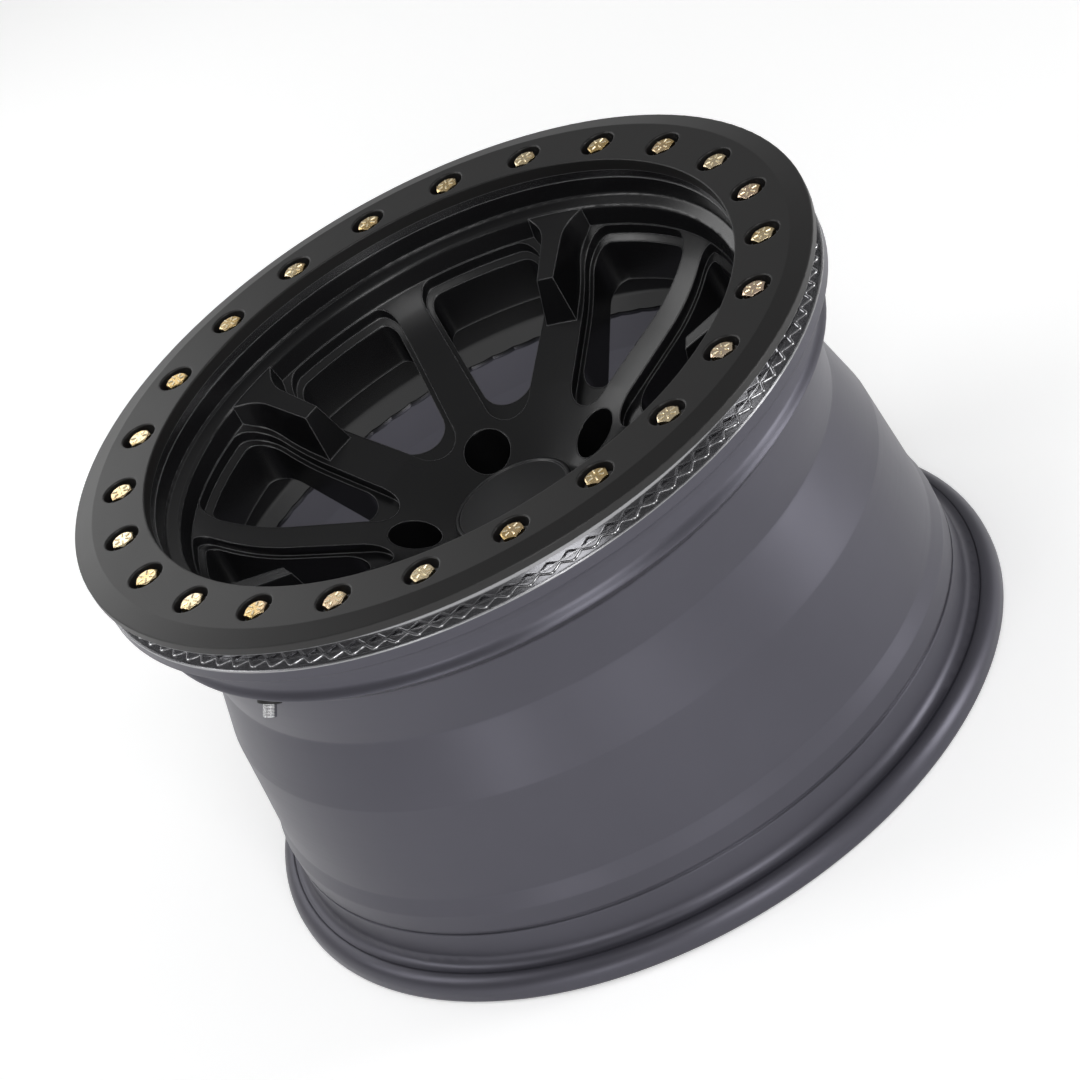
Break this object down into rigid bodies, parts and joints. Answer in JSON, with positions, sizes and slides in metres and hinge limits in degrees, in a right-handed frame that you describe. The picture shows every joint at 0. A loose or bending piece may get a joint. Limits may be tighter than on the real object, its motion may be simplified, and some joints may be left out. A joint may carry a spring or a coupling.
{
  "type": "beadlock wheel",
  "caption": "Deep-dish off-road car wheel with a bolted bead clamp ring, alternating slim and stout spokes, conical lug seats, centre cap and clamp-in valve.",
  "frame": {"origin": "on the wheel's axle line, in the plane that the rear rim stands on", "axes": "+Z along the axle, out of the wheel's face; +Y towards one lug hole and the slim spoke behind it"},
  "size_m": [0.47, 0.47, 0.2766],
  "materials": {
    "satin_black": "satin",
    "gold_zinc": "yellow zinc plate",
    "zinc_steel": "zinc plate",
    "black_plastic": "satin",
    "spring_steel": "drawn wire",
    "rubber": "matt",
    "nickel": "nickel plate",
    "brass": "turned"
  },
  "bodies": {
    "root": {"wheel_casting": "satin_black", "beadlock_ring": "satin_black", "ring_bolts": "gold_zinc", "ring_washers": "zinc_steel", "centre_cap": "black_plastic", "cap_spring_ring": "spring_steel", "valve_grommet": "rubber", "valve_stem": "nickel", "valve_core": "brass", "valve_washer": "nickel", "valve_nut": "nickel", "valve_cap": "black_plastic"}
  },
  "joints": []
}
